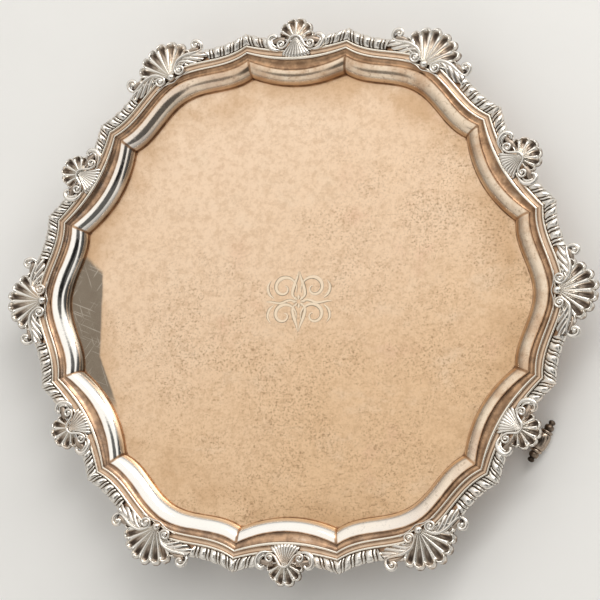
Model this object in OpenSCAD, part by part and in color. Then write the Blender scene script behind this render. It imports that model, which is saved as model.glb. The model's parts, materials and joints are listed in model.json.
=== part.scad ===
// Silver salver: a shaped-circular tray with six wide and six narrow lobes, a mitred
// moulded bouge, a reeded wire, gadrooned border lengths, cast shells and volute feet.
// Origin on the floor below the centre. +Z up. One large shell points along +X.

/* [Tray] */
// Radius from the centre to a cusp of the reeded wire
cusp_radius = 165; // [140:1:190]
// Height of the top of the reeded wire above the floor
rim_height = 34; // [30:0.5:42]
// Depth of the flat well below the top of the reeded wire
well_depth = 10.5; // [8:0.5:13]
// Thickness of the flat well
well_gauge = 1.8; // [1.2:0.1:2.6]
// Thickness of the moulded bouge and the flange
flange_gauge = 1.4; // [1:0.1:2.2]
// Depth of the flange's seat below the top of the reeded wire
seat_depth = 3; // [2.6:0.1:3.6]

/* [Gadroons] */
// Distance from one broad rib to the next
gadroon_pitch = 6.7; // [6:0.1:8]
// Radius of a broad rib
gadroon_radius = 2.1; // [1.6:0.1:2.5]
// Radius of the thin reed between two broad ribs
reed_radius = 1.1; // [0.8:0.1:1.3]
// Slant of the ribs away from the large shell
gadroon_slant = 20; // [0:1:30]

/* [Shells] */
// Radius of the pearl at the root of a large shell
pearl_radius = 2.3; // [1.8:0.1:2.8]
// Radius of the rolled lobes round a large shell
lobe_radius = 3.6; // [2.8:0.1:4.2]
// Radius of the rolled lobes round a small shell
small_lobe_radius = 2.6; // [2:0.1:3.2]

/* [Feet] */
// Radius from the centre to the axis of a foot's volute
foot_radius = 174.5; // [168:0.5:190]
// Radius of a foot's volute roll
volute_radius = 4.6; // [3.8:0.1:5.4]
// Length of the volute roll between its collars
volute_length = 11; // [9:0.5:14]
// Width of the leg
leg_width = 8; // [6:0.5:10]

/* [Hidden] */
$fn = 48;
lobe_count = 6;
lobe_turn = 360 / lobe_count;
half_turn = lobe_turn / 2;
foot_count = 4;

// The corners of every line lie on one straight mitre through the cusp.
cusp_angle = 18.5;
mitre_angle = 23;
mitre_in = -0.12 * cusp_radius;
wide_steps = 14;
narrow_steps = 8;

// Heights of the lines across the border, and their distances along the mitre.
seat = rim_height - seat_depth;
well_top = rim_height - well_depth;
well_bottom = well_top - well_gauge;
ovolo_out = -0.060 * cusp_radius;
ovolo_height = rim_height - 1.8;
cove_out = -0.036 * cusp_radius;
cove_low = ovolo_height - 0.5;
cove_top = seat + 1.6;
flange_out = 0.043 * cusp_radius;
wire_in = -0.0355 * cusp_radius;
wire_out = -0.001 * cusp_radius;
gadroon_in = 0;
gadroon_out = 0.045 * cusp_radius;
ovolo_start = 15;
cut_gap = 0.05;

// How far a wide line bulges out and a narrow line sags in, at a distance along the mitre.
bulge_table = [[-0.12, 0.065], [-0.06, 0.058], [-0.03, 0.068], [0, 0.076], [0.06, 0.076]];
sag_table = [[-0.12, 0.038], [-0.06, 0.046], [-0.03, 0.030], [0, 0.026], [0.06, 0.036]];
// How far round the wide lobe the bulge reaches, as a share of its half width.
bulge_reach = 0.945;

function turned(p, a) = [p[0] * cos(a) - p[1] * sin(a), p[0] * sin(a) + p[1] * cos(a)];
function corner(d) = cusp_radius * [cos(cusp_angle), sin(cusp_angle)]
    + d * [cos(mitre_angle), sin(mitre_angle)];
function bulge(d) = cusp_radius * lookup(d / cusp_radius, bulge_table);
function sag(d) = cusp_radius * lookup(d / cusp_radius, sag_table);
function wave(t, reach) = 0.5 + 0.5 * cos(180 * t / reach);

// A point of the wide lobe's line, t being the distance across from its middle.
function wide_at(d, t) =
    let (c = corner(d), reach = bulge_reach * c[1])
    [c[0] + bulge(d) * (wave(t, reach) - wave(c[1], reach)), t];
// The same for a narrow lobe, in its own frame.
function narrow_at(d, t) =
    let (c = turned([corner(d)[0], -corner(d)[1]], half_turn))
    [c[0] - sag(d) * (1 - t * t / (c[1] * c[1])), t];
function wide_half(d) = corner(d)[1];
function narrow_half(d) = turned([corner(d)[0], -corner(d)[1]], half_turn)[1];
function wide_line(d, a = -1, b = 1, steps = wide_steps) =
    [for (i = [0:steps]) wide_at(d, wide_half(d) * (a + (b - a) * i / steps))];
function narrow_line(d, a = -1, b = 1, steps = narrow_steps) =
    [for (i = [0:steps]) narrow_at(d, narrow_half(d) * (a + (b - a) * i / steps))];
function all_but_last(v) = [for (i = [0:len(v) - 2]) v[i]];
function outline(d) = [for (k = [0:lobe_count - 1]) each concat(
    [for (p = all_but_last(wide_line(d))) turned(p, k * lobe_turn)],
    [for (p = all_but_last(narrow_line(d))) turned(p, k * lobe_turn + half_turn)])];

// The bouge's section, from the well outwards over the top and back underneath.
function ovolo(a) = let (s = sin(ovolo_start), c = cos(ovolo_start)) [
    mitre_in + (ovolo_out - mitre_in) * (c - cos(a)) / c,
    well_top + (ovolo_height - well_top) * (sin(a) - s) / (1 - s)];
bouge_top = concat(
    [for (a = [ovolo_start:15:90]) ovolo(a)],
    [[ovolo_out * 0.86, cove_low], [ovolo_out * 0.72, cove_low + 0.1], [cove_out, cove_top]],
    [[cove_out, seat], [flange_out, seat]]);
bouge_under = concat(
    [[flange_out, seat - flange_gauge], [ovolo_out, seat - flange_gauge]],
    [for (a = [75:-15:ovolo_start])
        [ovolo(a)[0] + flange_gauge * cos(a), ovolo(a)[1] - flange_gauge]],
    [[mitre_in, well_bottom]]);
bouge_section = concat(bouge_top, bouge_under);

// A closed ring through outlines: section is a list of [distance along the mitre, height].
module ring_sweep(section) {
    rows = len(section);
    loops = [for (s = section) outline(s[0])];
    n = len(loops[0]);
    points = [for (i = [0:rows - 1]) for (p = loops[i]) [p[0], p[1], section[i][1]]];
    faces = [for (i = [0:rows - 1]) for (j = [0:n - 1])
        let (i2 = (i + 1) % rows, j2 = (j + 1) % n) each [
            [i * n + j, i2 * n + j2, i2 * n + j],
            [i * n + j, i * n + j2, i2 * n + j2]]];
    polyhedron(points, faces, convexity = 8);
}

// An open length through lines, closed with a flat end at each mitre.
module length_sweep(lines, heights) {
    rows = len(lines);
    n = len(lines[0]);
    points = [for (i = [0:rows - 1]) for (p = lines[i]) [p[0], p[1], heights[i]]];
    sides = [for (i = [0:rows - 1]) for (j = [0:n - 2])
        let (i2 = (i + 1) % rows) each [
            [i * n + j, i2 * n + j, i2 * n + j + 1],
            [i * n + j, i2 * n + j + 1, i * n + j + 1]]];
    first = [for (i = [rows - 1:-1:0]) i * n];
    last = [for (i = [0:rows - 1]) i * n + n - 1];
    polyhedron(points, concat(sides, [first, last]), convexity = 6);
}

// A tapering bar, and chains of bars joined and ended by balls.
module bar(a, b, ra, rb) {
    v = b - a;
    reach = norm(v);
    translate(a)
        rotate([0, acos(v[2] / reach), atan2(v[1], v[0])])
            cylinder(r1 = ra, r2 = rb, h = reach);
}

module rod_chain(points, radii) {
    for (i = [0:len(points) - 2]) bar(points[i], points[i + 1], radii[i], radii[i + 1]);
    for (i = [0:len(points) - 1]) translate(points[i]) sphere(r = radii[i]);
}

module rod(a, b, ra, rb) {
    rod_chain([a, b], [ra, rb]);
}

// ---- the tray ----

module tray() {
    color([0.80, 0.72, 0.60]) {
        union() {
            translate([0, 0, well_bottom])
                linear_extrude(well_gauge) polygon(outline(mitre_in));
            ring_sweep(bouge_section);
        }
    }
}

// ---- the reeded wire: two beads with a flat between ----

bead_width = 0.009 * cusp_radius;
groove_height = rim_height - 0.9;
bead_shoulder = rim_height - 0.35;
wire_section = [
    [wire_in, seat], [wire_out, seat],
    [wire_out, bead_shoulder], [wire_out - bead_width * 0.3, rim_height],
    [wire_out - bead_width * 0.8, rim_height], [wire_out - bead_width * 1.1, groove_height],
    [wire_in + bead_width * 1.1, groove_height], [wire_in + bead_width * 0.8, rim_height],
    [wire_in + bead_width * 0.3, rim_height], [wire_in, bead_shoulder]];
wire_heights = [for (s = wire_section) s[1]];
// A hair is left between two lengths so that they meet without sharing metal.
wire_share = 0.9995;

module wide_wire(k) {
    color([0.84, 0.78, 0.68])
        rotate([0, 0, k * lobe_turn])
            length_sweep(
                [for (s = wire_section) wide_line(s[0], -wire_share, wire_share)],
                wire_heights);
}

module narrow_wire(k) {
    color([0.84, 0.78, 0.68])
        rotate([0, 0, k * lobe_turn + half_turn])
            length_sweep(
                [for (s = wire_section) narrow_line(s[0], -wire_share, wire_share)],
                wire_heights);
}

// ---- gadrooned border lengths, each running round a cusp between two shells ----

wide_stop = 0.172 * cusp_radius;
narrow_stop = 0.118 * cusp_radius;
strip_top = seat + 2;
rib_axis = seat + gadroon_radius + 0.1;
reed_axis = rim_height - 0.6;
wide_ribs = 4;
narrow_ribs = 2;
rib_half = (gadroon_out - gadroon_in) / 2 - gadroon_radius * 0.75;

function strip_line(d) = concat(
    [for (p = wide_line(d, wide_stop / wide_half(d), 1, 6)) p],
    [for (p = narrow_line(d, -0.999, -narrow_stop / narrow_half(d), 4)) turned(p, half_turn)]);
function backwards(v) = [for (i = [len(v) - 1:-1:0]) v[i]];

// One rib lying across the strip at point p, the border running along angle a.
module rib(p, a, lean, r, h, half) {
    translate([p[0], p[1], h])
        rotate([0, 0, a + lean])
            rod([-half, 0, 0], [half, 0, 0], r, r);
}

module gadroon_run() {
    mid = (gadroon_in + gadroon_out) / 2;
    linear_extrude(strip_top - seat)
        polygon(concat(strip_line(gadroon_in + cut_gap), backwards(strip_line(gadroon_out))));
    translate([0, 0, -seat]) {
        for (i = [0:wide_ribs]) {
            t = wide_half(mid) - i * gadroon_pitch;
            slope = (wide_at(mid, t + 1) - wide_at(mid, t - 1)) / 2;
            rib(wide_at(mid, t), -atan2(slope[0], slope[1]), gadroon_slant,
                gadroon_radius, rib_axis, rib_half);
            if (i < wide_ribs)
                rib(wide_at(mid, t - gadroon_pitch / 2), -atan2(slope[0], slope[1]),
                    gadroon_slant, reed_radius, reed_axis, rib_half);
        }
        for (i = [1:narrow_ribs]) {
            t = -narrow_half(mid) + i * gadroon_pitch;
            slope = (narrow_at(mid, t + 1) - narrow_at(mid, t - 1)) / 2;
            rotate([0, 0, half_turn]) {
                rib(narrow_at(mid, t), -atan2(slope[0], slope[1]), -gadroon_slant / 2,
                    gadroon_radius, rib_axis, rib_half);
                rib(narrow_at(mid, t - gadroon_pitch / 2), -atan2(slope[0], slope[1]),
                    -gadroon_slant / 2, reed_radius, reed_axis, rib_half);
            }
        }
    }
}

// side = 1 runs anticlockwise from large shell k, side = -1 clockwise.
module gadroon_length(k, side) {
    color([0.86, 0.83, 0.78])
        rotate([0, 0, k * lobe_turn])
            translate([0, 0, seat])
                if (side > 0) gadroon_run();
                else mirror([0, 1, 0]) gadroon_run();
}

// ---- shells: fluted fans with a scalloped edge ----

flute_steps = 4;
ring_steps = 4;
// How far each ring of the fan lies from its root, and the lift it has there.
ring_shares = [0.30, 0.62, 0.88, 1];
ring_lifts = [0.25, 0.55, 1, 0.75];

// A solid fan. Its root is at the origin, it opens towards +X, and it stands on z = 0.
module fan(half, flutes, reach, tip_extra, scallop, root_high, rim_high, ridge) {
    n = flutes * flute_steps;
    function turn(i) = -half + 2 * half * i / n;
    // 1 on a rib, 0 in the middle of a flute.
    function ribbed(i) = 0.5 + 0.5 * cos(360 * i / flute_steps);
    function span(i) = reach + tip_extra * cos(turn(i)) - scallop * pow(ribbed(i), 2);
    function lift(i, j) = root_high + (rim_high - root_high) * ring_lifts[j]
        + ridge * (ribbed(i) - 0.5) * (j == ring_steps - 1 ? 0 : 1);
    points = concat(
        [[0, 0, root_high], [0, 0, 0]],
        [for (j = [0:ring_steps - 1]) for (i = [0:n])
            let (r = span(i) * ring_shares[j])
            [r * cos(turn(i)), r * sin(turn(i)), lift(i, j)]],
        [for (i = [0:n]) [span(i) * cos(turn(i)), span(i) * sin(turn(i)), 0]]);
    function at(j, i) = 2 + j * (n + 1) + i;
    top = concat(
        [for (i = [0:n - 1]) [0, at(0, i + 1), at(0, i)]],
        [for (j = [0:ring_steps - 2]) for (i = [0:n - 1]) each [
            [at(j, i), at(j, i + 1), at(j + 1, i)],
            [at(j, i + 1), at(j + 1, i + 1), at(j + 1, i)]]]);
    rim = [for (i = [0:n - 1]) each [
        [at(ring_steps - 1, i), at(ring_steps - 1, i + 1), at(ring_steps, i)],
        [at(ring_steps - 1, i + 1), at(ring_steps, i + 1), at(ring_steps, i)]]];
    under = concat([1], [for (i = [0:n]) at(ring_steps, i)]);
    side_a = concat([1, 0], [for (j = [0:ring_steps]) at(j, 0)]);
    side_b = concat([1], [for (j = [ring_steps:-1:0]) at(j, n)], [0]);
    polyhedron(points, concat(top, rim, [under, side_a, side_b]), convexity = 8);
}

// ---- large shells ----

root_n = 1.0 * cusp_radius;
large_reach = 0.126 * cusp_radius;
large_extra = 0.024 * cusp_radius;
large_half_turn = 76;
large_flutes = 8;
large_scallop = 2.6;
large_ridge = 1.1;
pearl_height = rim_height + 1;
bridge_length = 9;
bridge_gauge = 1;
eye_side = 0.044 * cusp_radius;
eye_n = 1.005 * cusp_radius;
eye_radius = 2.1;
ball_side = 0.145 * cusp_radius;
ball_n = 1.057 * cusp_radius;
leaf_top = rim_height + 0.7;
ball_radius = 3.2;
shell_floor = seat + 0.8;
shell_root = rim_height - shell_floor + 1.2;
clear_low = -0.075 * cusp_radius;
clear_drop = 1;
wide_clear_share = 0.7;
narrow_clear_share = 0.75;

// Fills the border from inside the cove to just outside the reeded wire.
module wide_clearance() {
    share = wide_clear_share;
    translate([0, 0, seat - clear_drop])
        linear_extrude(seat_depth + clear_drop + cut_gap)
            polygon(concat(wide_line(wire_out + cut_gap, -share, share, 10),
                backwards(wide_line(clear_low, -share, share, 4))));
}

// Acanthus leaf seen from above, from the volute out to the ball and back along the wire.
leaf_shape = cusp_radius * [
    [1.015, 0.033], [1.040, 0.036], [1.052, 0.052], [1.059, 0.080], [1.052, 0.109],
    [1.046, 0.139], [1.020, 0.169], [0.984, 0.170], [0.988, 0.145], [0.998, 0.112]];

module large_shell_metal() {
    translate([root_n, 0, shell_floor])
        fan(large_half_turn, large_flutes, large_reach, large_extra, large_scallop,
            shell_root, lobe_radius, large_ridge);
    translate([root_n, 0, pearl_height]) sphere(r = pearl_radius);
    // Bridge between the two volute eyes, below the pearl.
    translate([root_n - bridge_gauge, -eye_side, rim_height + cut_gap])
        cube([bridge_length, 2 * eye_side, bridge_gauge]);
    for (s = [-1, 1]) {
        translate([eye_n, s * eye_side, pearl_height]) sphere(r = eye_radius);
        translate([0, 0, seat])
            linear_extrude(leaf_top - seat)
                polygon([for (p = leaf_shape) [p[0], s * p[1]]]);
        translate([ball_n, s * ball_side, seat + ball_radius]) sphere(r = ball_radius);
    }
}

module large_shell(k) {
    color([0.88, 0.86, 0.82])
        rotate([0, 0, k * lobe_turn])
            difference() {
                large_shell_metal();
                wide_clearance();
            }
}

// ---- small shells ----

arch_n = 0.985 * cusp_radius;
small_reach = 0.068 * cusp_radius;
small_extra = 0.027 * cusp_radius;
small_half_turn = 88;
small_flutes = 6;
small_scallop = 1.7;
small_ridge = 0.9;
small_lift = 1;
apron_root = 1.004 * cusp_radius;
apron_reach = 0.088 * cusp_radius;
apron_half = 36;
apron_ribs = 7;
apron_scallop = 0.5;
apron_ridge = 0.5;
apron_root_high = 1.4;
apron_rim_high = 1.2;
arch_gauge = 1.8;
scroll_height = rim_height + 0.8;
scroll_side = 0.050 * cusp_radius;
scroll_n = 0.968 * cusp_radius;
crescent_top = rim_height + 0.2;
crescent_shape = cusp_radius * [
    [0.990, 0.040], [1.004, 0.058], [1.012, 0.085], [1.003, 0.108],
    [0.985, 0.1165], [0.962, 0.1165], [0.958, 0.075], [0.956, 0.050]];
// Half of the arch, from its foot up to the middle.
arch_outer = cusp_radius * [[0.955, -0.056], [0.975, -0.042], [0.992, -0.024], [1.002, -0.008]];
arch_inner = cusp_radius * [[0.950, -0.044], [0.966, -0.032], [0.981, -0.018], [0.989, -0.006]];
function flipped(v) = [for (p = v) [p[0], -p[1]]];

module narrow_clearance() {
    share = narrow_clear_share;
    translate([0, 0, seat - clear_drop])
        linear_extrude(seat_depth + clear_drop + cut_gap)
            polygon(concat(narrow_line(wire_out + cut_gap, -share, share, 8),
                backwards(narrow_line(clear_low, -share, share, 4))));
}

module small_shell_metal() {
    translate([arch_n, 0, shell_floor])
        fan(small_half_turn, small_flutes, small_reach, small_extra, small_scallop,
            shell_root, small_lobe_radius + small_lift, small_ridge);
    // Apron of fine ribs that laps inwards over the reeded wire.
    translate([apron_root, 0, rim_height + cut_gap])
        rotate([0, 0, 180])
            fan(apron_half, apron_ribs, apron_reach, 0, apron_scallop,
                apron_root_high, apron_rim_high, apron_ridge);
    // Arch over the apron.
    translate([0, 0, rim_height + cut_gap])
        linear_extrude(arch_gauge)
            polygon(concat(arch_outer, backwards(flipped(arch_outer)),
                flipped(arch_inner), backwards(arch_inner)));
    // Crescent scrolls that the gadroons run up to, with a boss on each.
    for (s = [-1, 1]) {
        translate([0, 0, seat])
            linear_extrude(crescent_top - seat)
                polygon([for (p = crescent_shape) [p[0], s * p[1]]]);
        translate([scroll_n, s * scroll_side, scroll_height]) sphere(r = eye_radius);
    }
}

module small_shell(k) {
    color([0.88, 0.86, 0.82])
        rotate([0, 0, k * lobe_turn + half_turn])
            difference() {
                small_shell_metal();
                narrow_clearance();
            }
}

// ---- feet ----

flange_under = seat - flange_gauge;
leg_top_in = 0.952 * cusp_radius;
leg_top_out = 1.0 * cusp_radius;
volute_height = volute_radius - 0.3;
collar_radius = volute_radius * 0.86;
collar_length = 2;
knob_radius = 3.1;
knob_offset = volute_length / 2 + 3.4;
boss_radius = 2.2;
boss_offset = volute_length / 2 + 6.6;
shoulder_spread = leg_width + 1.5;
shoulder_radius = 3.6;
shoulder_tip = 2.2;
trim_size = 80;

// Side view of the leg: broad under the flange, narrow at the ankle, out to the volute.
leg_outline = [
    [leg_top_in, flange_under], [leg_top_out, flange_under],
    [leg_top_out + 1.5, flange_under - 2.5], [leg_top_out + 1.2, flange_under - 6],
    [leg_top_out + 0.6, flange_under - 10], [leg_top_out + 2, flange_under - 14],
    [foot_radius - 5, volute_height + 5], [foot_radius - 1, volute_height + 3.6],
    [foot_radius - 1, volute_height - 3.6], [foot_radius - 5, volute_height - 0.5],
    [leg_top_out - 1, volute_height + 3.4], [leg_top_out - 5.5, flange_under - 14],
    [leg_top_out - 6.5, flange_under - 10], [leg_top_in + 0.8, flange_under - 5]];

module foot_metal() {
    translate([0, leg_width / 2, 0])
        rotate([90, 0, 0])
            linear_extrude(leg_width) polygon(leg_outline);
    // Shoulders that spread the leg along the flange.
    for (s = [-1, 1])
        rod([leg_top_in + shoulder_radius, s * leg_width * 0.3, flange_under - 4.4],
            [leg_top_in + shoulder_radius, s * shoulder_spread, flange_under - 2.4],
            shoulder_radius, shoulder_tip);
    translate([foot_radius, 0, volute_height])
        rotate([90, 0, 0]) {
            cylinder(r = volute_radius, h = volute_length, center = true);
            for (s = [-1, 1]) {
                translate([0, 0, s * (volute_length + collar_length) / 2])
                    cylinder(r = collar_radius, h = collar_length, center = true);
                translate([0, 0, s * knob_offset]) sphere(r = knob_radius);
                translate([0, 0, s * boss_offset]) sphere(r = boss_radius);
            }
        }
}

module foot(k) {
    color([0.70, 0.66, 0.60])
        rotate([0, 0, -half_turn + k * 360 / foot_count])
            difference() {
                foot_metal();
                translate([foot_radius, 0, -volute_radius])
                    cube([trim_size, trim_size, 2 * volute_radius], center = true);
                translate([foot_radius, 0, flange_under + volute_radius])
                    cube([trim_size, trim_size, 2 * volute_radius], center = true);
            }
}

tray();
wide_wire(0);  // wide_wire_1
wide_wire(1);  // wide_wire_2
wide_wire(2);  // wide_wire_3
wide_wire(3);  // wide_wire_4
wide_wire(4);  // wide_wire_5
wide_wire(5);  // wide_wire_6
narrow_wire(0);  // narrow_wire_1
narrow_wire(1);  // narrow_wire_2
narrow_wire(2);  // narrow_wire_3
narrow_wire(3);  // narrow_wire_4
narrow_wire(4);  // narrow_wire_5
narrow_wire(5);  // narrow_wire_6
gadroon_length(0, 1);  // gadroons_1
gadroon_length(1, -1);  // gadroons_2
gadroon_length(1, 1);  // gadroons_3
gadroon_length(2, -1);  // gadroons_4
gadroon_length(2, 1);  // gadroons_5
gadroon_length(3, -1);  // gadroons_6
gadroon_length(3, 1);  // gadroons_7
gadroon_length(4, -1);  // gadroons_8
gadroon_length(4, 1);  // gadroons_9
gadroon_length(5, -1);  // gadroons_10
gadroon_length(5, 1);  // gadroons_11
gadroon_length(0, -1);  // gadroons_12
large_shell(0);  // large_shell_1
large_shell(1);  // large_shell_2
large_shell(2);  // large_shell_3
large_shell(3);  // large_shell_4
large_shell(4);  // large_shell_5
large_shell(5);  // large_shell_6
small_shell(0);  // small_shell_1
small_shell(1);  // small_shell_2
small_shell(2);  // small_shell_3
small_shell(3);  // small_shell_4
small_shell(4);  // small_shell_5
small_shell(5);  // small_shell_6
foot(0);  // foot_1
foot(1);  // foot_2
foot(2);  // foot_3
foot(3);  // foot_4
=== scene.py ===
# %% [markdown]
# # A silver salver with a shell and gadroon border
#
# A salver is a flat tray on short feet. This one is raised from one sheet of silver. Its
# edge is dressed with drawn wire, cast gadroons and cast shells, all soldered on, and it
# stands on four cast volute feet. The solid model already fixes every size and place.
# Here each piece gets the shape and the finish that the eye sees.

# %% Open the frame
import json
import math
import bpy
import numpy as np
from mathutils import Matrix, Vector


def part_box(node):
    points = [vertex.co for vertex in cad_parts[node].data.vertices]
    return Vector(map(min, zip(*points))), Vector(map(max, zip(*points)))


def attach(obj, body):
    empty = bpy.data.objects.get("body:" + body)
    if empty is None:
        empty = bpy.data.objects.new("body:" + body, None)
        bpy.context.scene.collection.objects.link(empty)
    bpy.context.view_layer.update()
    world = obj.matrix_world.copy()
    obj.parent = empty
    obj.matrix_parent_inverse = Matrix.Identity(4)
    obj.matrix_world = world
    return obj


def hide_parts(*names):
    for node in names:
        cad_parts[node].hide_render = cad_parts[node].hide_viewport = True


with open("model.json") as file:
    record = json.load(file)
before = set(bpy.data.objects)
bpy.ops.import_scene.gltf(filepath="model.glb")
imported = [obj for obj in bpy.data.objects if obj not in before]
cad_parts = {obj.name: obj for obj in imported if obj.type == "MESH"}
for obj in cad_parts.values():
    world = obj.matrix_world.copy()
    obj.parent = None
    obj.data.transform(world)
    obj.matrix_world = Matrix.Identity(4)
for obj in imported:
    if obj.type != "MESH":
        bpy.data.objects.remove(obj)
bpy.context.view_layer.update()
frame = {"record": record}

# %% [markdown]
# ## The lines of the border
#
# Twelve arcs make the outline: six wide ones that swell outwards behind a large shell, and
# six narrow ones that sag inwards behind a small shell. Every moulding repeats the same
# outline further in or out, and all of them meet on straight mitres through the cusps.
# So one pair of functions draws every line: d is the distance along the mitre from the
# reeded wire's cusp, and t is the distance across from the middle of the lobe.

# %% Sizes read from the frame
MM = 0.001
CUSP_ANGLE = math.radians(18.5)
MITRE_ANGLE = math.radians(23)
LOBE_TURN = math.radians(60)
HALF_TURN = LOBE_TURN / 2
# Each length of reeded wire stops a hair short of its mitres and of the cusp.
WIRE_TRIM = 0.9995
WIRE_INSET = 0.001
wire_low, wire_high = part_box("wide_wire_1")
SEAT = wire_low[2]
RIM = wire_high[2]
CUSP = wire_high[1] / (WIRE_TRIM * (math.sin(CUSP_ANGLE) - WIRE_INSET * math.sin(MITRE_ANGLE)))
mounts = {mount["name"]: mount["pos_m"] for mount in frame["record"]["mounts"]}
WELL = mounts["well"][2]
UNDER_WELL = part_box("tray")[0][2]
print("cusp radius %.4f, seat %.4f, rim %.4f, well %.4f" % (CUSP, SEAT, RIM, WELL))

# %% Functions for any line of the border
# How far the middle of a wide lobe swells out, and that of a narrow lobe sags in. Both
# change with the line's distance d, and all are shares of the cusp radius.
BULGE = ([-0.12, -0.06, -0.03, 0, 0.06], [0.065, 0.072, 0.070, 0.076, 0.076])
SAG = ([-0.12, -0.06, -0.03, 0, 0.06], [0.038, 0.046, 0.030, 0.026, 0.036])
BULGE_REACH = 0.945


def cusp_at(d):
    """The cusp of the line at distance d, seen from the middle of the wide lobe."""
    d = np.asarray(d, float)
    return (CUSP * math.cos(CUSP_ANGLE) + d * math.cos(MITRE_ANGLE),
            CUSP * math.sin(CUSP_ANGLE) + d * math.sin(MITRE_ANGLE))


def narrow_cusp_at(d):
    """The same cusp, seen from the middle of the narrow lobe."""
    n, t = cusp_at(d)
    c, s = math.cos(HALF_TURN), math.sin(HALF_TURN)
    return n * c + t * s, n * s - t * c


def wide_line(d, t):
    """Distance out from the centre of the wide line d, t across from its middle."""
    n, half = cusp_at(d)
    rise = CUSP * np.interp(np.asarray(d, float) / CUSP, *BULGE)
    reach = BULGE_REACH * half
    return n + rise * 0.5 * (np.cos(np.pi * t / reach) - np.cos(np.pi * half / reach))


def narrow_line(d, t):
    """Distance out from the centre of the narrow line d, t across from its middle."""
    n, half = narrow_cusp_at(d)
    drop = CUSP * np.interp(np.asarray(d, float) / CUSP, *SAG)
    return n - drop * (1 - t * t / (half * half))


def turned(n, t, z, angle):
    """A point n out and t across (anticlockwise), with the lobe turned to its place."""
    n, t, z = np.broadcast_arrays(n, t, z)
    c, s = math.cos(angle), math.sin(angle)
    return np.stack([n * c - t * s, n * s + t * c, z], -1)


print("wide cusp", cusp_at(0.0), "narrow cusp", narrow_cusp_at(0.0))

# %% [markdown]
# ## A builder for chased metal
#
# Cast and chased work is full of small rises and hollows, so each piece is worked out as
# grids of points with NumPy and turned into quads. The hollows hold tarnish where
# polishing cloths never reach, and they are also darkened as painted shade. The builder
# therefore keeps one number for every point, "hollow", from 0 on a crest to 1 deep in a
# groove, and the finish reads it later.

# %% The builder
class Chasing:
    """Collects grids of points into one piece of metal."""

    def __init__(self):
        self.points, self.hollow, self.faces, self.count = [], [], [], 0

    def grid(self, points, hollow=0.0, close_v=False, flip=False):
        """Adds rows of points as quads. Rows run along u, and each row along v."""
        nu, nv = points.shape[:2]
        self.points.append(points.reshape(-1, 3))
        self.hollow.append(np.broadcast_to(hollow, (nu, nv)).reshape(-1))
        u, v = np.meshgrid(np.arange(nu - 1), np.arange(nv if close_v else nv - 1),
                           indexing="ij")
        u, v = u.ravel(), v.ravel()
        u2, v2 = u + 1, (v + 1) % nv
        quads = np.stack([u * nv + v, u2 * nv + v, u2 * nv + v2, u * nv + v2], 1)
        if flip:
            quads = quads[:, ::-1]
        self.faces.append(quads + self.count)
        self.count += nu * nv

    def shell(self, top, under, hollow=0.0, flip=False):
        """A thin solid: a top grid, an under grid of the same size, and walls between."""
        hollow = np.broadcast_to(hollow, top.shape[:2])
        self.grid(top, hollow, flip=flip)
        # The under grid and the lower edges of the walls are marked fully hollow, so
        # undersides take the darkest colour: painted shade, with tarnish.
        self.grid(under, np.ones(top.shape[:2]), flip=not flip)
        every = slice(None)
        for edge, turned_in in (((every, 0), False), ((every, -1), True),
                                ((0, every), True), ((-1, every), False)):
            wall = np.stack([top[edge], under[edge]], 0)
            shade = np.stack([hollow[edge], np.ones(len(top[edge]))], 0)
            self.grid(wall, shade, flip=turned_in == flip)

    def tube(self, path, radius, hollow=0.0):
        """A round rod along a path of points, with a radius for every point."""
        sides = 10
        path = np.asarray(path, float)
        radius = np.broadcast_to(radius, len(path))
        along = np.gradient(path, axis=0)
        along /= np.linalg.norm(along, axis=1)[:, None]
        side = np.cross(along, [0, 0, 1])
        side /= np.linalg.norm(side, axis=1)[:, None] + 1e-12
        up = np.cross(side, along)
        turn = np.linspace(0, 2 * np.pi, sides, endpoint=False)[None, :, None]
        ring = side[:, None] * np.cos(turn) + up[:, None] * np.sin(turn)
        body = path[:, None] + ring * radius[:, None, None]
        first = np.repeat(path[:1, None], sides, 1)
        last = np.repeat(path[-1:, None], sides, 1)
        self.grid(np.concatenate([first, body, last]), hollow, close_v=True)

    def ball(self, centre, radius):
        """A round boss or pearl, with a painted highlight on top and painted shade below."""
        a = np.linspace(0.001, np.pi - 0.001, 10)[:, None]
        b = np.linspace(0, 2 * np.pi, 16, endpoint=False)[None]
        skin = np.stack([np.sin(a) * np.cos(b), np.sin(a) * np.sin(b), np.cos(a) + 0 * b], -1)
        shade = np.clip(0.55 - np.cos(a) * 0.9 + 0 * b, 0, 1)
        self.grid(np.asarray(centre) + radius * skin, shade, close_v=True)

    def piece(self, name, crease):
        """Makes the Blender object, smooth except across sharp creases."""
        mesh = bpy.data.meshes.new(name)
        points = np.concatenate(self.points)
        faces = np.concatenate(self.faces)
        mesh.from_pydata(points.tolist(), [], faces.tolist())
        mark = mesh.attributes.new("hollow", "FLOAT", "POINT")
        mark.data.foreach_set("value", np.concatenate(self.hollow).astype(np.float32))
        mesh.validate()
        mesh.polygons.foreach_set("use_smooth", [True] * len(mesh.polygons))
        mesh.set_sharp_from_angle(angle=math.radians(crease))
        made = bpy.data.objects.new(name, mesh)
        bpy.context.collection.objects.link(made)
        return made


# %% Curves that the castings use
def eased(points, steps):
    """A smooth path through a few points (Catmull-Rom), with any number of columns."""
    p = np.asarray(points, float)
    p = np.concatenate([[2 * p[0] - p[1]], p, [2 * p[-1] - p[-2]]])
    s = np.linspace(0, len(p) - 3, steps)
    i = np.minimum(s.astype(int), len(p) - 4)
    f = (s - i)[:, None]
    a, b, c, d = p[i], p[i + 1], p[i + 2], p[i + 3]
    return 0.5 * (2 * b + (c - a) * f + (2 * a - 5 * b + 4 * c - d) * f ** 2
                  + (3 * b - 3 * c + d - a) * f ** 3)


def hump(x, middle, half):
    """A rounded hump, 1 at its middle and 0 beyond half to either side."""
    return np.sqrt(np.clip(1 - ((x - middle) / half) ** 2, 0, 1))


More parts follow.
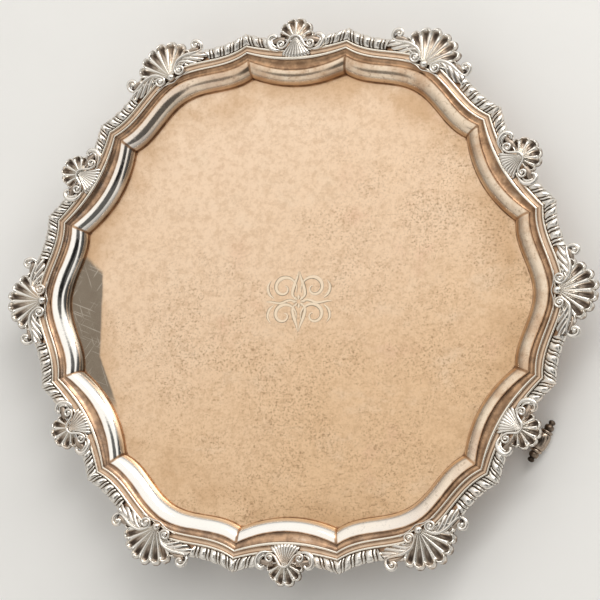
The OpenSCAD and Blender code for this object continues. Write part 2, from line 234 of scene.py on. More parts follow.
def soft_step(x, low, high):
    """0 below low, 1 above high, smooth between."""
    f = np.clip((x - low) / (high - low), 0, 1)
    return f * f * (3 - 2 * f)


print("halfway up a soft step:", soft_step(0.5, 0, 1))

# %% Handing a piece over
SILVER = {}


def finish_piece(piece, finish, slot, *nodes):
    """Gives a piece its finish and its place in the frame, and hides the nodes it stands for.
    """
    piece.data.materials.append(SILVER[finish])
    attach(piece, "root")
    if nodes:
        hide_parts(*nodes)
    return piece


# %% [markdown]
# ## Writing finishes as expressions
#
# Cycles materials are node trees, which are slow to read when each link is typed out.
# The small class below wraps a socket, so that an expression such as
# 1 - mask * 0.5 adds the Math nodes by itself. Every other node comes from one method,
# which takes the node's type, its settings and the values or links of its sockets.

# %% Nodes from expressions
class Signal:
    """A socket that can be used in sums. It knows the finish that it belongs to."""

    def __init__(self, finish, socket):
        self.finish, self.socket = finish, socket

    def _math(self, operation, *values):
        return self.finish.node("ShaderNodeMath", {"operation": operation}, *values)

    def __add__(self, other):
        return self._math("ADD", self, other)

    def __radd__(self, other):
        return self._math("ADD", other, self)

    def __sub__(self, other):
        return self._math("SUBTRACT", self, other)

    def __rsub__(self, other):
        return self._math("SUBTRACT", other, self)

    def __mul__(self, other):
        return self._math("MULTIPLY", self, other)

    def __rmul__(self, other):
        return self._math("MULTIPLY", other, self)

    def least(self, other):
        return self._math("MINIMUM", self, other)

    def most(self, other):
        return self._math("MAXIMUM", self, other)

    def spread(self, low, high):
        """0 below low, 1 above high, smooth between."""
        return self.finish.node("ShaderNodeMapRange", {"interpolation_type": "SMOOTHSTEP"},
                                self, low, high, 0.0, 1.0)


# %% A tree of nodes
class Nodes:
    """A node tree that expressions add to."""

    def __init__(self, tree, coordinates):
        self.tree = tree
        self.place = self.node("ShaderNodeTexCoord", {}, output=coordinates)

    def node(self, kind, settings, *values, output=0, **named):
        """Adds a node: its settings first, then values or links, by order or by name."""
        made = self.tree.nodes.new(kind)
        for key, value in settings.items():
            setattr(made, key, value)
        sockets = [s for s in made.inputs if s.enabled]
        pairs = list(zip(sockets, values))
        pairs += [(next(s for s in sockets if s.name == key), v) for key, v in named.items()]
        for socket, value in pairs:
            if isinstance(value, Signal):
                self.tree.links.new(value.socket, socket)
            else:
                socket.default_value = value
        outputs = [s for s in made.outputs if s.enabled]
        if isinstance(output, str):
            return Signal(self, next(s for s in outputs if s.name == output))
        return Signal(self, outputs[output])

    def mix(self, share, a, b):
        """Blends two colours."""
        a, b = (c if isinstance(c, Signal) else (*c, 1) for c in (a, b))
        return self.node("ShaderNodeMix", {"data_type": "RGBA"}, share, a, b)

    def along(self, direction):
        """How far a point lies along a direction, in metres."""
        return self.node("ShaderNodeVectorMath", {"operation": "DOT_PRODUCT"},
                         self.place, direction, output="Value")

    def outwards(self):
        """How far a point lies from the upright line through the centre, in metres."""
        flat = self.node("ShaderNodeVectorMath", {"operation": "MULTIPLY"},
                         self.place, (1, 1, 0), output="Vector")
        return self.node("ShaderNodeVectorMath", {"operation": "LENGTH"}, flat, output="Value")

    def clouds(self, scale, detail=4.0, rough=0.6, stretch=(1, 1, 1), shift=(0, 0, 0)):
        """Soft noise, at a scale in patches per metre."""
        place = self.node("ShaderNodeMapping", {}, self.place, shift, (0, 0, 0), stretch)
        return self.node("ShaderNodeTexNoise", {"noise_dimensions": "3D"},
                         Vector=place, Scale=scale, Detail=detail, Roughness=rough)


# %% A finish
class Finish(Nodes):
    """One finish, built up node by node on a Principled shader."""

    def __init__(self, name):
        self.material = bpy.data.materials.new(name)
        self.material.use_nodes = True
        super().__init__(self.material.node_tree, "Object")
        self.shader = self.tree.nodes["Principled BSDF"]
        SILVER[name] = self.material

    def hollow(self):
        return self.node("ShaderNodeAttribute", {"attribute_name": "hollow"}, output="Fac")

    def set(self, **sockets):
        for name, value in sockets.items():
            socket = self.shader.inputs[name.replace("_", " ")]
            if isinstance(value, Signal):
                self.tree.links.new(value.socket, socket)
            else:
                socket.default_value = value

    def dents(self, height, distance, strength):
        """Turns a height into a bumped normal."""
        return self.node("ShaderNodeBump", {}, Strength=strength, Distance=distance,
                         Height=height)


# %% [markdown]
# ## Tarnished silver
#
# Silver darkens through straw yellow and brown to nearly black as sulphide grows on it.
# On a salver that is wiped but rarely polished, the flat well turns an even warm beige
# with a fine dark speckle, the coves stay browner, crests that the cloth touches stay
# bright, and the hollows of the castings are almost black, from tarnish and from painted
# shade. Each finish mixes those stages with noise, and with the builder's "hollow" value
# where there is relief.

# %% Colours of silver, from wiped bright to near black with tarnish and painted shade
BRIGHT = (0.94, 0.92, 0.88)
STRAW = (0.88, 0.670, 0.490)
CREAM = (0.86, 0.69, 0.52)
TAN = (0.79, 0.545, 0.335)
ROSE = (0.74, 0.46, 0.32)
EDGE_BROWN = (0.60, 0.38, 0.21)
MOTTLE_BROWN = (0.50, 0.31, 0.165)
COVE_BROWN = (0.57, 0.345, 0.195)
COVE_SHADE = (0.27, 0.15, 0.08)
UMBER = (0.30, 0.175, 0.085)
SEAM_BLACK = (0.09, 0.055, 0.04)
# Near black of the deepest hollows: tarnish and painted shade.
NEAR_BLACK_TARNISH_AND_SHADE = (0.045, 0.034, 0.027)
# Grey of the painted dark reflection at the left of the well.
DARK_REFLECTION_GREY = (0.185, 0.158, 0.125)


def well_tone(f):
    """Straw at the top and tan lower down, clouded, and browner close to the bouge."""
    low_down = f.along((3.5, -9.4, 0)) + (f.clouds(9.0, 3.0, 0.55) - 0.5) * 1.6
    tone = f.mix(low_down.spread(-1.3, 1.5), STRAW, TAN)
    blotch = f.clouds(24.0, 4.0, 0.6, shift=(0.3, 0.1, 0.0))
    tone = f.mix(blotch.spread(0.58, 0.78) * 0.50, tone, ROSE)
    pale = f.clouds(55.0, 5.0, 0.65, shift=(0.0, 0.6, 0.2), stretch=(0.7, 1.0, 1.0))
    tone = f.mix(pale.spread(0.50, 0.75) * 0.35, tone, CREAM)
    edge_cloud = f.clouds(19.0, 4.0, 0.6, shift=(0.9, 0.2, 0.0)).spread(0.40, 0.62)
    edge = f.outwards().spread(0.112, 0.142) * edge_cloud
    tone = f.mix(edge * 0.75, tone, EDGE_BROWN)
    mottle = f.clouds(240.0, 5.0, 0.8, shift=(0.5, 0.0, 0.3))
    return f.mix(mottle.spread(0.42, 0.64) * 0.34, tone, MOTTLE_BROWN)


print("the well runs from", STRAW, "to", TAN)

# %% [markdown]
# Two kinds of mark lie over that tone. Sulphide starts at pits and wiping lines, so the
# specks gather in drifts and turn into short dashes low down. At the left lies a strip of
# painted dark reflection, grey, with long scratches across it. Both are masks, so the
# tone, the roughness and the bump can all use them.

# %% Specks and the strip of painted dark reflection
DARK_REFLECTION_EDGE = 0.1270


def well_specks(f):
    """Mask of fine specks in drifts, and of short dashes left by wiping."""
    drift = f.clouds(22.0, 5.0, 0.7, shift=(0.0, 0.6, 0.0)).spread(0.42, 0.64)
    fine = f.clouds(640.0, 3.0, 0.8).spread(0.52, 0.63)
    coarse = f.clouds(330.0, 4.0, 0.8, shift=(0.2, 0.2, 0.0)).spread(0.55, 0.68)
    dash = f.clouds(520.0, 3.0, 0.75, stretch=(0.30, 1.0, 1.0)).spread(0.59, 0.69)
    low = f.along((0, -1, 0)).spread(0.05, 0.14) * f.clouds(30.0, 3.0, 0.6).spread(0.4, 0.6)
    calm = 1 - f.along((-0.55, 0.83, 0)).spread(0.00, 0.10) * 0.75
    fleck = (fine * (0.26 + drift * 0.75) + coarse * (0.12 + drift * 0.8)) * calm
    return (fleck + dash * low * 0.9).least(1.0)


def dark_reflection_mask(f):
    """Mask of the strip of painted dark reflection: beyond a line at the left, and between two
    ragged ends.
    """
    ragged = (f.clouds(60.0, 4.0, 0.6) - 0.5) * 0.006
    widen = (f.along((0, -1, 0)) - 0.035).most(0.0) * 0.4
    left = (f.along((-1, 0, 0)) + ragged * 0.3 + widen).spread(DARK_REFLECTION_EDGE, DARK_REFLECTION_EDGE + 0.0018)
    below = (f.along((0.67, 0.74, 0)) + ragged).spread(-0.0700, -0.0740)
    above = (f.along((0, 1, 0)) + ragged * 2).spread(-0.072, -0.056)
    return left * below * above


def dark_reflection_tone(f):
    """Painted dark reflection in grey, with scratch marks in three directions."""
    scratch = 0.0
    for turn, shift in ((0.35, 0.1), (-0.6, 0.4), (1.2, 0.7)):
        place = f.node("ShaderNodeMapping", {"vector_type": "TEXTURE"}, f.place,
                       (shift, 0, 0), (0, 0, turn), (1.0, 26.0, 1.0))
        lines = f.node("ShaderNodeTexNoise", {}, Vector=place, Scale=1300.0, Detail=1.0,
                       Roughness=0.4)
        scratch = scratch + lines.spread(0.66, 0.72)
    tone = f.mix(scratch.least(1.0) * 0.5, DARK_REFLECTION_GREY, (0.52, 0.48, 0.42))
    return f.mix(f.clouds(120.0, 4.0, 0.6).spread(0.45, 0.75) * 0.5, tone, (0.15, 0.12, 0.095))


# The strip is painted dark reflection, with scratch marks.
print("the rubbed strip starts", DARK_REFLECTION_EDGE, "m left of the middle")

# %% [markdown]
# The bouge is curved, so it mirrors the room and its roughness counts for more than its
# colour. It is nearly white where the cloth reaches it and browner round the far side.
# Last come the coves and seams, from the builder's "hollow" value with some noise added.

# %% Finish of the tray
def tray_silver():
    f = Finish("tarnished_tray_silver")
    hollow = f.hollow()
    fleck = well_specks(f)
    strip = dark_reflection_mask(f)
    tone = f.mix(fleck * 0.66, well_tone(f), UMBER)
    # A painted dark reflection lies over the well at the left.
    tone = f.mix(strip * 0.92, tone, dark_reflection_tone(f))
    rise = f.along((0, 0, 1)).spread(WELL + 0.3 * MM, WELL + 1.5 * MM)
    cloud = f.clouds(38.0, 5.0, 0.65, shift=(0.7, 0.0, 0.1))
    clean = (f.along((-0.80, -0.60, 0)) + (cloud - 0.5) * 0.14).spread(-0.06, 0.10)
    grit = f.clouds(330.0, 4.0, 0.75, shift=(0.0, 0.0, 0.5)).spread(0.53, 0.68)
    bouge = f.mix(cloud.spread(0.38, 0.68), (0.84, 0.69, 0.53), (0.60, 0.41, 0.27))
    bouge = f.mix(grit * 0.45, bouge, (0.30, 0.18, 0.10))
    tone = f.mix(rise, tone, f.mix(clean * 0.93, bouge, BRIGHT))
    ragged = (f.clouds(75.0, 5.0, 0.7, shift=(0.4, 0.4, 0.0)) - 0.5) * 0.7
    seam = hollow + ragged * (hollow * 3).least(1.0)
    cove = f.mix(f.clouds(95.0, 5.0, 0.7, shift=(0.6, 0.1, 0.2)).spread(0.38, 0.62),
                 COVE_BROWN, COVE_SHADE)
    tone = f.mix(seam.spread(0.08, 0.50) * 0.93, tone, cove)
    tone = f.mix(seam.spread(0.60, 1.00) * 0.92, tone, SEAM_BLACK)
    wear = f.clouds(90.0, 5.0, 0.7)
    flat = 0.27 + wear * 0.12 + fleck * 0.14 - strip * 0.10
    curved = 0.12 + wear * 0.10 + grit * 0.12 - clean * 0.08
    rough = flat * (1 - rise) + rise * curved
    f.set(Base_Color=tone, Metallic=1.0, Roughness=rough + seam.spread(0.15, 0.55) * 0.22,
          Normal=f.dents(f.clouds(420.0, 3.0, 0.6) + fleck * 0.3, 0.00006, 0.45))


tray_silver()
print("finishes so far:", ", ".join(SILVER))

# %% [markdown]
# The border's pieces share one recipe. Crests are bright, slopes are toned and hollows
# are near black, from tarnish and painted shade, and only the three colours and the
# depths where they change differ.

# %% Finishes of the border and the feet
def border_silver(name, bright, mid, dark, low, high):
    """A cast or drawn finish, toned where the hollow value is between low and high."""
    f = Finish(name)
    cloud = f.clouds(160.0, 4.0, 0.65)
    depth = f.hollow() + (cloud - 0.5) * 0.35
    half_way = (low + high) / 2
    tone = f.mix(depth.spread(low, half_way), bright, mid)
    tone = f.mix(depth.spread(half_way, high), tone, dark)
    brown = f.clouds(60.0, 3.0, 0.6, shift=(0.2, 0.0, 0.4)).spread(0.5, 0.72)
    tone = f.mix(brown * 0.35, tone, STRAW)
    f.set(Base_Color=tone, Metallic=1.0,
          Roughness=0.20 + cloud * 0.10 + depth.spread(low, high) * 0.25,
          Normal=f.dents(f.clouds(900.0, 3.0, 0.6), 0.00005, 0.6))


border_silver("drawn_wire_silver", (0.90, 0.83, 0.72), (0.62, 0.44, 0.30),
              (0.20, 0.12, 0.08), 0.25, 1.0)
border_silver("gadroon_silver", (0.80, 0.76, 0.70), (0.42, 0.35, 0.28), NEAR_BLACK_TARNISH_AND_SHADE, 0.12, 0.95)
border_silver("shell_silver", (0.80, 0.76, 0.70), (0.42, 0.345, 0.28), (0.075, 0.055, 0.043),
              0.12, 0.92)
border_silver("foot_silver", (0.42, 0.34, 0.27), (0.125, 0.09, 0.065), NEAR_BLACK_TARNISH_AND_SHADE, 0.06, 0.62)
border_silver("bright_cut_silver", (0.84, 0.69, 0.52), (0.50, 0.41, 0.30),
              (0.14, 0.12, 0.09), 0.2, 1.0)
print("finishes:", ", ".join(SILVER))

# %% [markdown]
# ## The tray
#
# The tray is one sheet: the flat well, the ovolo that rises from it, a cove, and the
# flange that carries the border. A lathe can't make it, because the outline isn't round,
# so the same section is carried round the outline's own lines. Each lobe is its own grid
# and stops on the mitres, which keeps the twelve corners crisp. A little random
# waviness, a tenth of a millimetre, is what makes raised silver reflect like silver.

# %% Section of the bouge
WELL_LINE = -0.12 * CUSP
OVOLO_LINE = -0.060 * CUSP
COVE_LINE = -0.036 * CUSP
FLANGE_LINE = 0.043 * CUSP
OVOLO_TOP = RIM - 1.8 * MM
SHEET = 1.4 * MM
FULLNESS = 2.3
OVOLO_START = 0.12


def bouge_section():
    """Distance along the mitre, height, and hollowness, from the well to the flange."""
    rows = [(WELL_LINE - 1.2 * MM, WELL, 0.0), (WELL_LINE - 0.5 * MM, WELL, 0.35)]
    # The ovolo is a little fuller than a quarter circle.
    for a in np.linspace(OVOLO_START, math.pi / 2, 18):
        share = 1 - math.cos(a) ** (2 / FULLNESS)
        d = WELL_LINE + (OVOLO_LINE - WELL_LINE) * share
        z = WELL + (OVOLO_TOP - WELL) * math.sin(a) ** (2 / FULLNESS)
        foot_seam = 0.9 * max(0, 1 - (a - OVOLO_START) / 0.14)
        crest_seam = 0.6 * max(0, 1 - (math.pi / 2 - a) / 0.05)
        rows.append((d, z, foot_seam + crest_seam))
    low = OVOLO_TOP - 0.75 * MM
    for share, z, dark in ((0.06, OVOLO_TOP - 0.5 * MM, 0.85), (0.20, low, 0.55),
                           (0.42, low - 0.1 * MM, 0.50), (0.62, low + 0.1 * MM, 0.48),
                           (0.82, low + 0.6 * MM, 0.50), (0.95, low + 1.1 * MM, 0.6),
                           (1.0, low + 1.15 * MM, 0.8)):
        rows.append((OVOLO_LINE + (COVE_LINE - OVOLO_LINE) * share, z, dark))
    rows += [(COVE_LINE, SEAT, 1.0), (FLANGE_LINE - 0.4 * MM, SEAT, 0.3),
             (FLANGE_LINE, SEAT - 0.4 * MM, 0.1), (FLANGE_LINE, SEAT - SHEET, 0.3)]
    # Back underneath, a sheet's thickness lower.
    rows += [(OVOLO_LINE, SEAT - SHEET, 0.2)]
    start = math.radians(15)
    for a in np.linspace(math.pi / 2, start, 9)[1:]:
        share = (math.cos(start) - math.cos(a)) / math.cos(start)
        lift = (math.sin(a) - math.sin(start)) / (1 - math.sin(start))
        d = WELL_LINE + (OVOLO_LINE - WELL_LINE) * share + SHEET * math.cos(a)
        z = WELL + (OVOLO_TOP - WELL) * lift - SHEET
        rows.append((d, max(z, UNDER_WELL), 0.2))
    rows += [(WELL_LINE, UNDER_WELL, 0.2)]
    return np.array(rows)


SECTION = bouge_section()
print("bouge section of", len(SECTION), "rows")

# %% Raise the tray
WAVE = 0.14 * MM
WIDE_STEPS = 72
NARROW_STEPS = 40


def waviness(points, size, seed):
    """Slow random rise and fall over the plan, up to about size."""
    rng = np.random.default_rng(seed)
    lift = np.zeros(points.shape[:-1])
    for _ in range(14):
        turn, phase = rng.uniform(0, 2 * np.pi, 2)
        wave = rng.uniform(60, 240)
        lift += np.sin((points[..., 0] * math.cos(turn) + points[..., 1] * math.sin(turn))
                       * wave + phase)
    return lift / 14 * 2.2 * size


def lobe_grid(section, k, wide, steps, trim=1.0):
    """Carries a section of (d, z, hollow) rows along one lobe."""
    d, z, dark = section[:, 0], section[:, 1], section[:, 2]
    half = cusp_at(d)[1] if wide else narrow_cusp_at(d)[1]
    t = np.linspace(-1, 1, steps)[:, None] * half[None] * trim
    n = (wide_line if wide else narrow_line)(d[None] + 0 * t, t)
    angle = k * LOBE_TURN + (0 if wide else HALF_TURN)
    points = turned(n, t, z[None], angle)
    return points, np.broadcast_to(dark, t.shape)


def raise_bouge(tray):
    """Adds the twelve lobes, and returns the inner edge above and the one below."""
    above, below = [], []
    for k in range(6):
        for wide, steps in ((True, WIDE_STEPS), (False, NARROW_STEPS)):
            points, dark = lobe_grid(SECTION, k, wide, steps)
            points[..., 2] += waviness(points, WAVE, 4)
            # The tray darkens along the mitres, as tarnish and painted shade in the creases.
            mitre = np.abs(np.linspace(-1, 1, steps))[:, None]
            corner = np.clip((mitre - 0.975) / 0.02, 0, 1)
            tray.grid(points, np.maximum(dark, corner * 0.75), flip=True)
            above.append(points[:-1, 0])
            below.append(points[:-1, -1])
    return np.concatenate(above), np.concatenate(below)


def lay_well(tray, rim, level, seam, rings, flip):
    """Fills inside a rim with rings of points that shrink towards the middle."""
    shares = np.concatenate([[1, 0.985, 0.96], np.linspace(0.92, 0.02, rings)])
    well = rim[None] * shares[:, None, None]
    lift = waviness(well, WAVE, 4) * np.linspace(1, 0.75, len(well))[:, None]
    well[..., 2] = level + lift
    well[0] = rim
    dark = np.zeros(well.shape[:2])
    dark[0] = seam
    tray.grid(well, dark, close_v=True, flip=flip)
    middle = np.repeat(well[-1:].mean(1, keepdims=True), well.shape[1], 1)
    tray.grid(np.concatenate([well[-1:], middle]), 0.0, close_v=True, flip=flip)


def raise_tray():
    tray = Chasing()
    above, below = raise_bouge(tray)
    lay_well(tray, above, WELL, SECTION[0, 2], 30, False)
    lay_well(tray, below, UNDER_WELL, SECTION[-1, 2], 10, True)
    return tray.piece("raised_tray", 28)


tray = finish_piece(raise_tray(), "tarnished_tray_silver", "tray_silver", "tray")
print("tray:", len(tray.data.polygons), "faces")

# %% [markdown]
# ## The reeded wire
#
# Two fine beads with a hollow between them run round the salver in twelve lengths. On
# the real piece this is wire pulled through a shaped hole in a steel plate, so its
# section never changes: it is one section swept along each lobe.

# %% Draw the wire
def wire_section():
    inner, outer = -0.0355 * CUSP, -WIRE_INSET * CUSP
    bead = 0.72 * MM
    rows = [(inner, SEAT, 1.0)]
    for a in np.linspace(math.pi * 0.98, 0.05, 9):
        rows.append((inner + bead + bead * math.cos(a), RIM - bead + bead * math.sin(a),
                     1 - math.sin(a) ** 0.5))
    for share, drop, dark in ((0.12, 0.95, 0.9), (0.35, 1.15, 0.62), (0.65, 1.15, 0.55),
                              (0.88, 0.95, 0.9)):
        rows.append((inner + 2 * bead + (outer - inner - 4 * bead) * share,
                     RIM - drop * MM, dark))
    for a in np.linspace(math.pi * 0.95, 0.02, 9):
        rows.append((outer - bead + bead * math.cos(a), RIM - bead + bead * math.sin(a),
                     1 - math.sin(a) ** 0.5))
    rows.append((outer, SEAT, 1.0))
    return np.array(rows)


def draw_wire(k, wide):
    section = wire_section()
    wire = Chasing()
    steps = WIDE_STEPS if wide else NARROW_STEPS
    points, dark = lobe_grid(section, k, wide, steps, WIRE_TRIM)
    wire.grid(np.concatenate([points, points[:, :1]], 1),
              np.concatenate([dark, dark[:, :1]], 1), flip=True)
    name = "%s_wire_%d" % ("wide" if wide else "narrow", k + 1)
    made = wire.piece("reeded_" + name, 40)
    return finish_piece(made, "drawn_wire_silver", "wire_silver", name)


for k in range(6):
    draw_wire(k, True)
    draw_wire(k, False)
print("wire section of", len(wire_section()), "rows")

# %% [markdown]
# ## The gadroons
#
# Gadroons are slanting convex ribs, a broad one and then a thin reed, over and over. They
# lean away from the shells and meet at the cusp. Each casting is one sheet of points:
# one direction runs along the border, the other across it, and the height is a base
# roll plus the ribs. The rib pattern is measured from the cusp on both sides, so
# it mirrors there by itself.

# %% Cast the gadroons
PITCH = 6.7 * MM
GADROON_OUT = 0.0445 * CUSP
WIDE_STOP = 0.165 * CUSP
NARROW_STOP = 0.112 * CUSP


def gadroon_height(away, across):
    """Rib height from 0 to 1 at a distance from the cusp, and across from 0 to 1."""
    lean = 2.3 * MM * (across - 0.45) + 0.25 * MM * np.sin(across * np.pi * 2)
    phase = (away + lean) / PITCH
    f = phase - np.floor(phase)
    f = np.where(f > 0.66, f - 1, f)
    swell = 0.82 + 0.30 * across
    broad = hump(f, 0.0, 0.34 * swell)
    reed = 0.78 * hump(f, 0.50, 0.135 * swell)
    return np.maximum(np.maximum(broad, reed), 0.0)


def cast_gadroons(k, side, number):
    across = np.linspace(0, 1, 30)
    d_mid = GADROON_OUT / 2
    wide_run = cusp_at(d_mid)[1] - WIDE_STOP
    narrow_run = narrow_cusp_at(d_mid)[1] - NARROW_STOP
    casting = Chasing()
    for part, run in (("wide", wide_run), ("narrow", narrow_run)):
        steps = int(run / PITCH * 26)
        away = np.linspace(0, run, steps)[:, None] + 0 * across[None]
        v = across[None] + 0 * away
        rib = gadroon_height(away, v)
        d = 0.3 * MM + v * GADROON_OUT + 0.55 * MM * rib * soft_step(v, 0.75, 1.0)
        d = d - 0.5 * MM * (1 - rib) * soft_step(v, 0.8, 1.0)
        valley = np.interp(v, [0, 0.3, 0.7, 0.9, 1], [2.2, 2.3, 2.1, 1.3, 0.4])
        crest = np.interp(v, [0, 0.12, 0.35, 0.6, 0.82, 0.94, 1],
                          [2.5, 3.3, 4.0, 4.2, 3.4, 2.2, 0.9])
        z = SEAT + MM * (valley + (crest - valley) * rib)
        if part == "wide":
            half = cusp_at(d)[1]
            t = half - (half - WIDE_STOP) * away / run
            points = turned(wide_line(d, t), t * side, z, k * LOBE_TURN)
        else:
            half = narrow_cusp_at(d)[1]
            t = -(half - (half - NARROW_STOP) * away / run)
            points = turned(narrow_line(d, t), t * side, z, k * LOBE_TURN + side * HALF_TURN)
        under = points.copy()
        under[..., 2] = np.minimum(SEAT + 0.02 * MM, points[..., 2] - 0.3 * MM)
        shade = np.clip(1.0 - 1.45 * rib + 0.25 * soft_step(v, 0.9, 1.0)
                        + 0.5 * (1 - soft_step(v, 0.0, 0.07)), 0, 1)
        casting.shell(points, under, shade, flip=(side > 0) == (part == "wide"))
    made = casting.piece("gadroon_border_%d" % number, 50)
    return finish_piece(made, "gadroon_silver", "gadroon_silver", "gadroons_%d" % number)


CUSPS = [(k, side) for k in range(1, 6) for side in (-1, 1)]
for number, (k, side) in enumerate([(0, 1)] + CUSPS + [(0, -1)], 1):
    made = cast_gadroons(k, side, number)
print("gadroon casting:", len(made.data.polygons), "faces each")

# %% [markdown]
# ## Fluted fans
#
# Both kinds of shell are fans of hollow flutes between raised ribs. Along a flute the
# metal dips, then rises and rolls over at the rim, where each flute ends in a small
# curled lobe. The fan is a grid in angle and distance from the root.

# %% A fan of flutes
UNEVEN = np.random.default_rng(12)
FLUTE_STEPS = 20


def uneven(turn, half, flutes, size):
    """Hand finishing leaves every lobe of a fan a little different, by up to size."""
    marks = np.linspace(-half, half, flutes * 2 + 1)
    return np.interp(turn, marks, UNEVEN.uniform(-size, size, len(marks)))


def fan(metal, root, half, flutes, reach, extra, heights, angle, scale=1.0):
    """Adds a fluted fan. heights are (share out, valley, rib) rows in mm over the seat."""
    column = np.arange(flutes * FLUTE_STEPS + 1)[:, None]
    turn = np.linspace(-half, half, len(column))[:, None]
    share = np.concatenate([np.linspace(0.0, 0.8, 17), np.linspace(0.82, 1.0, 15)])[None]
    local = (column % FLUTE_STEPS) / FLUTE_STEPS * 2 - 1
    rib = soft_step(np.abs(local), 0.08, 0.86)
    # A finer rib down the middle of each flute that fades before the rim.
    fine = np.exp(-(local / 0.16) ** 2) * (1 - soft_step(share, 0.35, 0.72))
    ribbed = np.clip(rib + 0.55 * fine, 0, 1)
    bow = 1 - 0.12 * np.abs(local) ** 2.5 * soft_step(share, 0.6, 1.0)
    longer = 1 + uneven(turn, half, flutes, 0.022) * soft_step(share, 0.5, 1.0)
    r = (reach + extra * np.cos(turn)) * share * bow * longer
    out, low, high = np.array(heights).T
    valley = np.interp(share, out, low)
    crest = np.interp(share, out, high)
    # The rolled lip at the rim, highest in the middle of the flute.
    lip = np.exp(-((share - 0.920) / 0.058) ** 2) * (1 - 0.62 * np.abs(local) ** 4)
    tall = 1 + uneven(turn, half, flutes, 0.25)
    z = valley + (crest - valley) * ribbed + scale * 1.9 * lip * tall
    z = z - 1.5 * scale * soft_step(share, 0.965, 1.0)
    # Flutes darken towards the rim, and the rolled-under edge is dark: tarnish and painted
    # shade in the hollows.
    depth = 0.22 + 0.68 * soft_step(share, 0.30, 0.80)
    dark = np.clip(1.05 - 1.35 * ribbed - 1.2 * lip, 0, 1) * depth
    dark = np.maximum(dark, soft_step(share, 0.975, 1.0) * 0.7)
    top = turned(root + r * np.cos(turn), r * np.sin(turn), SEAT + MM * z, angle)
    under = top.copy()
    under[..., 2] = np.maximum(top[..., 2] - 1.1 * MM, SEAT + 0.05 * MM)
    under[..., 2] = np.minimum(under[..., 2], top[..., 2] - 0.15 * MM)
    metal.shell(top, under, dark)


print("each flute has", FLUTE_STEPS, "steps across")

# %% Scrolls and curls
def scroll(metal, points, radii, angle, side, steps=40, hollow=0.0):
    """A rod through (across, out, height over the seat in mm) points, on one side."""
    path = eased([(p[0], p[1], p[2], r) for p, r in zip(points, radii)], steps)
    across, out, height, radius = path.T
    line = turned(out * CUSP, across * CUSP * side, SEAT + height * MM, angle)
    metal.tube(line, np.maximum(radius, 0.15) * MM, hollow)


def pearl(metal, out, across, height, radius, angle):
    """A boss at shares of the cusp radius, its height and radius in mm."""
    metal.ball(turned(out * CUSP, across * CUSP, SEAT + height * MM, angle), radius * MM)


def curl(centre, start, turns, first, last, low, high, count=14):
    """Points of a spiral: across, out, height, from radius first to last."""
    a = np.linspace(start, start + turns * 2 * np.pi, count)
    r = np.linspace(first, last, count)
    z = np.linspace(low, high, count)
    return [(centre[0] + x * math.cos(b), centre[1] + x * math.sin(b), h)
            for b, x, h in zip(a, r, z)]


print("a curl of one turn ends at", curl((0, 0), 0, 1, 2, 1, 0, 0)[-1])

# %% [markdown]
# ## The large shells
#
# A large shell is one casting: a pearl at the root, eight flutes opening from it, a
# volute to each side of the pearl, and from each volute an acanthus leaf that sweeps
# out along the border and ends in an outer scroll.

# %% Model a large shell
LARGE_HEIGHTS = [(0.0, 4.4, 4.6), (0.15, 3.9, 4.6), (0.35, 3.0, 4.5), (0.55, 2.2, 4.2),
                 (0.75, 1.7, 3.9), (0.88, 1.8, 3.6), (0.96, 2.0, 3.0), (1.0, 1.8, 2.4)]
LEAF_STEPS = 60


def leaf(metal, angle, side):
    """Acanthus leaf between its upper ridge and the reeded wire."""
    upper = eased([(0.040, 1.036), (0.062, 1.044), (0.088, 1.043), (0.113, 1.037),
                   (0.137, 1.031), (0.156, 1.030)], LEAF_STEPS)
    lower = eased([(0.062, 1.020), (0.078, 1.008), (0.098, 0.999), (0.121, 0.995),
                   (0.146, 0.994), (0.168, 0.996)], LEAF_STEPS)
    w = np.linspace(0, 1, 16)[None]
    s = np.linspace(0, 1, LEAF_STEPS)[:, None]
    # Veins run along the leaf and fan out to a lobed edge.
    flow = 3.6 * s ** 1.15 + 1.5 * (1 - w)
    lobes = np.abs(np.sin(flow * np.pi))
    reach = w * (1 - 0.14 * (1 - lobes) * w)
    t = upper[:, :1] * (1 - reach) + lower[:, :1] * reach
    n = upper[:, 1:] * (1 - reach) + lower[:, 1:] * reach
    z = 4.0 - 1.7 * w + 0.8 * np.sin(np.pi * w) + 0.75 * (lobes - 0.5) * soft_step(w, 0.0, 0.4)
    # Dark between the lobes and along the edge under the ridge: tarnish and painted shade.
    dark = np.clip((0.50 - lobes) * 2.2, 0, 1) * soft_step(w, 0.1, 0.4)
    dark = np.maximum(dark, 0.9 * (1 - soft_step(w, 0.04, 0.16)))
    dark = np.maximum(dark, 0.18)
    top = turned(n * CUSP, t * CUSP * side, SEAT + MM * z, angle)
    under = top.copy()
    under[..., 2] = SEAT + 0.05 * MM
    metal.shell(top, under, dark, flip=side < 0)


def inner_volute(metal, angle, side):
    """Opens beside the pearl and runs on as the leaf's upper ridge."""
    eye = curl((0.0455, 1.006), math.radians(-60), -1.45, 0.006, 0.0205, 4.9, 4.2)
    ridge = [(0.050, 1.0385, 4.4), (0.070, 1.044, 4.5), (0.095, 1.043, 4.4),
             (0.120, 1.036, 4.1), (0.143, 1.0305, 3.6), (0.160, 1.031, 3.2)]
    radii = list(np.linspace(0.9, 0.75, len(eye))) + [0.95, 1.05, 1.05, 0.95, 0.8, 0.6]
    scroll(metal, eye + ridge, radii, angle, side, 110)
    pearl(metal, 1.006, 0.0455 * side, 4.6, 1.25, angle)


